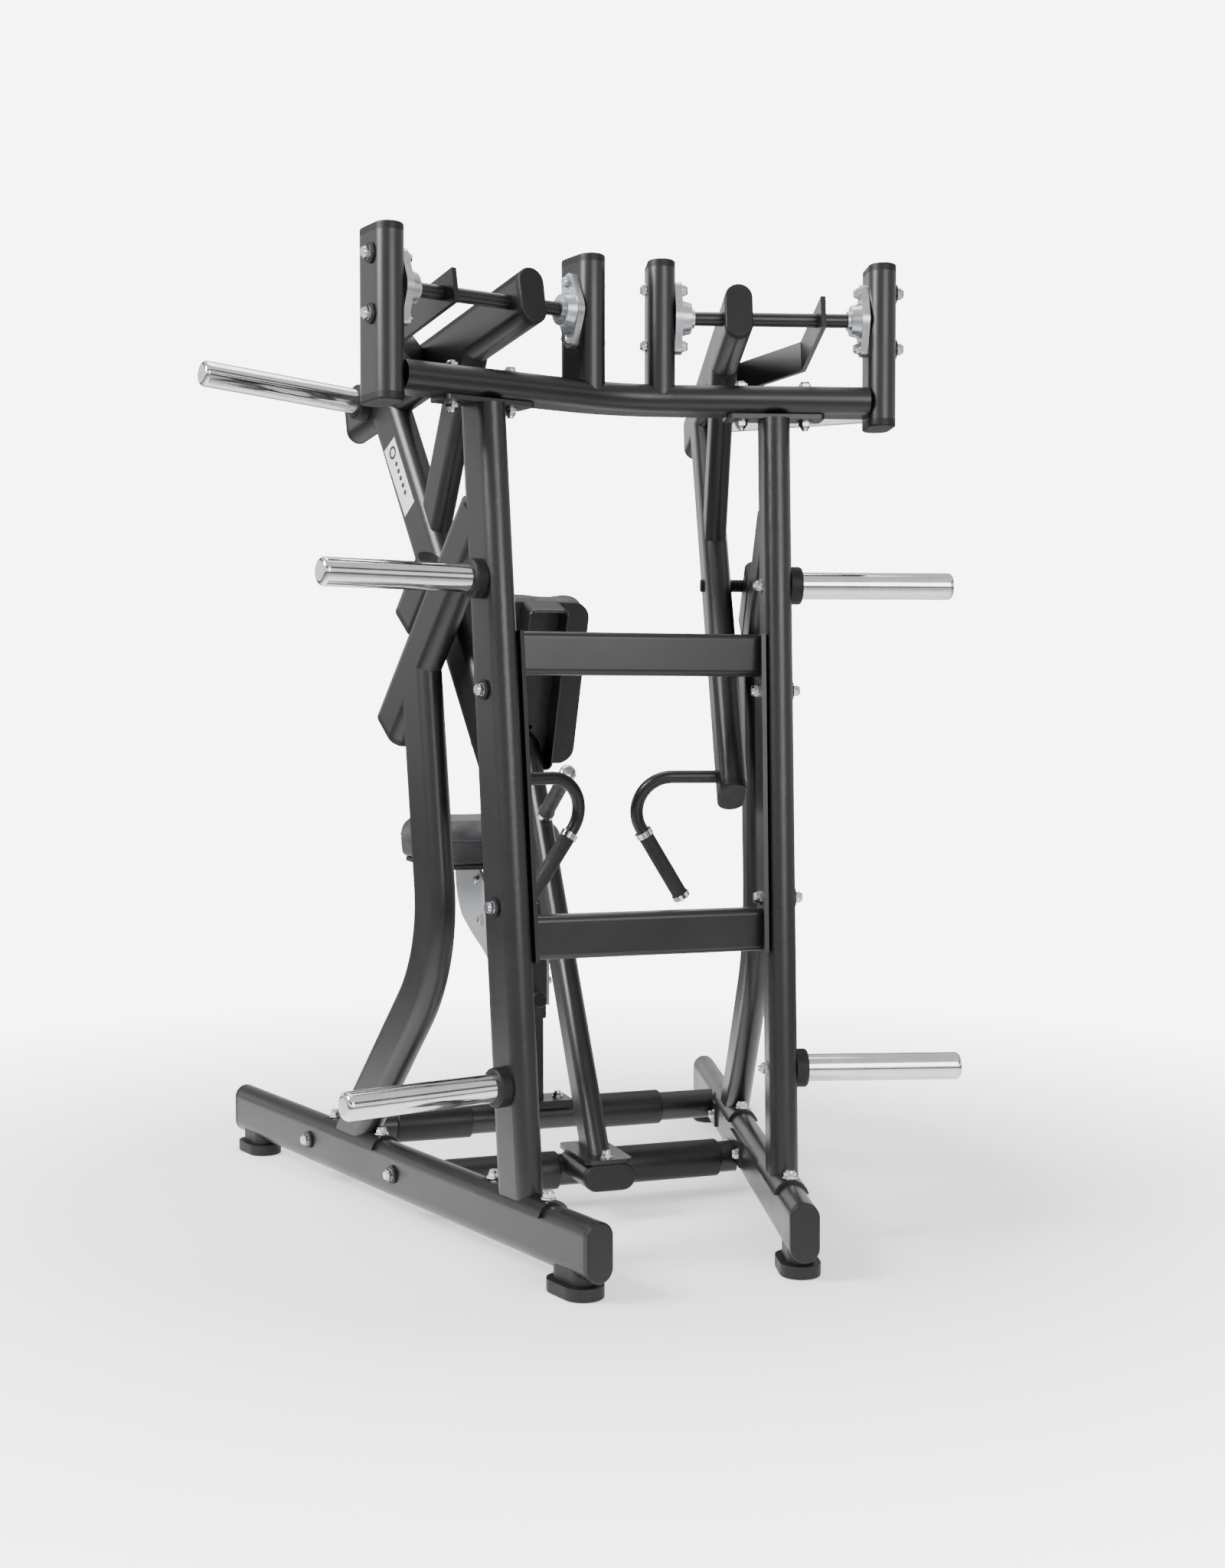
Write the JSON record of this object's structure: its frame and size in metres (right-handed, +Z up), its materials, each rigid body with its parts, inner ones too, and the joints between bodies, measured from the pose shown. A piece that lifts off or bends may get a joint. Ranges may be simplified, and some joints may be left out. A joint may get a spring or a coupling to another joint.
{
  "type": "seated row machine",
  "caption": "Free-standing plate-loaded chest-supported row machine with independent overhead-pivot levers, weight horns, chest pad and height-adjustable seat.",
  "frame": {"origin": "centre of the footprint, on the floor", "axes": "+Z up, +Y from the lever towers towards the seat, +X to the right seen from the tower side"},
  "size_m": [1.3916, 1.575, 1.744],
  "materials": {
    "black_powder_coat": "satin",
    "grey_powder_coat": "satin",
    "bright_chrome": "polished",
    "cast_bearing": "painted satin",
    "ring_aluminium": "satin",
    "black_rubber": "matt",
    "cap_plastic": "matt",
    "pin_plastic": "matt",
    "upholstery": "fine grain",
    "backing_board": "painted"
  },
  "bodies": {
    "frame": {"base_caps": "cap_plastic", "bearing_bolts": "bright_chrome", "bearings": "cast_bearing", "black_washers": "cap_plastic", "chest_pad": "upholstery", "chest_pad_board": "backing_board", "chest_pad_carrier": "black_powder_coat", "chest_pad_post": "black_powder_coat", "crossbar": "black_powder_coat", "far_crossmember": "black_powder_coat", "foot_pads": "black_rubber", "foot_pedestals": "black_powder_coat", "foot_rest_sleeves": "black_rubber", "frame_caps": "cap_plastic", "inner_towers": "black_powder_coat", "ladder": "black_powder_coat", "ladder_bolts": "bright_chrome", "left_rail": "black_powder_coat", "left_side_strut": "black_powder_coat", "left_upright": "black_powder_coat", "near_crossmember": "black_powder_coat", "outer_towers": "black_powder_coat", "post_bolts": "bright_chrome", "post_grip_metal": "ring_aluminium", "post_grip_sleeve": "black_rubber", "rail_bolts": "bright_chrome", "right_rail": "black_powder_coat", "right_side_strut": "black_powder_coat", "right_upright": "black_powder_coat", "saddle_bolts": "bright_chrome", "saddles": "black_powder_coat", "seat_base_bolts": "bright_chrome", "seat_post": "black_powder_coat", "storage_collars": "black_rubber", "storage_horn_nuts": "bright_chrome", "storage_horns": "bright_chrome", "top_flange_bolts": "bright_chrome"},
    "right_lever": {"right_bumper": "black_rubber", "right_handle_bar": "black_powder_coat", "right_handle_grip": "black_rubber", "right_handle_rings": "ring_aluminium", "right_lever_caps": "cap_plastic", "right_lever_collar": "black_rubber", "right_lever_frame": "black_powder_coat", "right_lever_horn": "bright_chrome"},
    "left_lever": {"left_bumper": "black_rubber", "left_handle_bar": "black_powder_coat", "left_handle_grip": "black_rubber", "left_handle_rings": "ring_aluminium", "left_lever_caps": "cap_plastic", "left_lever_collar": "black_rubber", "left_lever_frame": "black_powder_coat", "left_lever_horn": "bright_chrome"},
    "seat": {"seat_sleeve": "black_powder_coat", "seat_sleeve_cap": "cap_plastic", "seat_carrier": "grey_powder_coat", "seat_bolts": "bright_chrome", "seat_board": "backing_board", "seat_cushion": "upholstery"},
    "seat_pin": {"seat_pin": "pin_plastic"}
  },
  "joints": [
    {"name": "right_lever_pivot", "type": "hinge", "parent": "frame", "child": "right_lever", "pos_m": [0.20171, -0.4217, 1.6455], "axis": [0.9659, -0.2588, 0], "range_deg": [0, 50]},
    {"name": "left_lever_pivot", "type": "hinge", "parent": "frame", "child": "left_lever", "pos_m": [-0.20171, -0.4217, 1.6455], "axis": [0.9659, 0.2588, 0], "range_deg": [0, 50]},
    {"name": "seat_height", "type": "slide", "parent": "frame", "child": "seat", "axis": [0, 0, 1], "range_m": [-0.1, 0.05]},
    {"name": "seat_pin_pull", "type": "slide", "parent": "seat", "child": "seat_pin", "axis": [0, -1, 0], "range_m": [0, 0.012], "stiffness_N_per_m": 400}
  ]
}
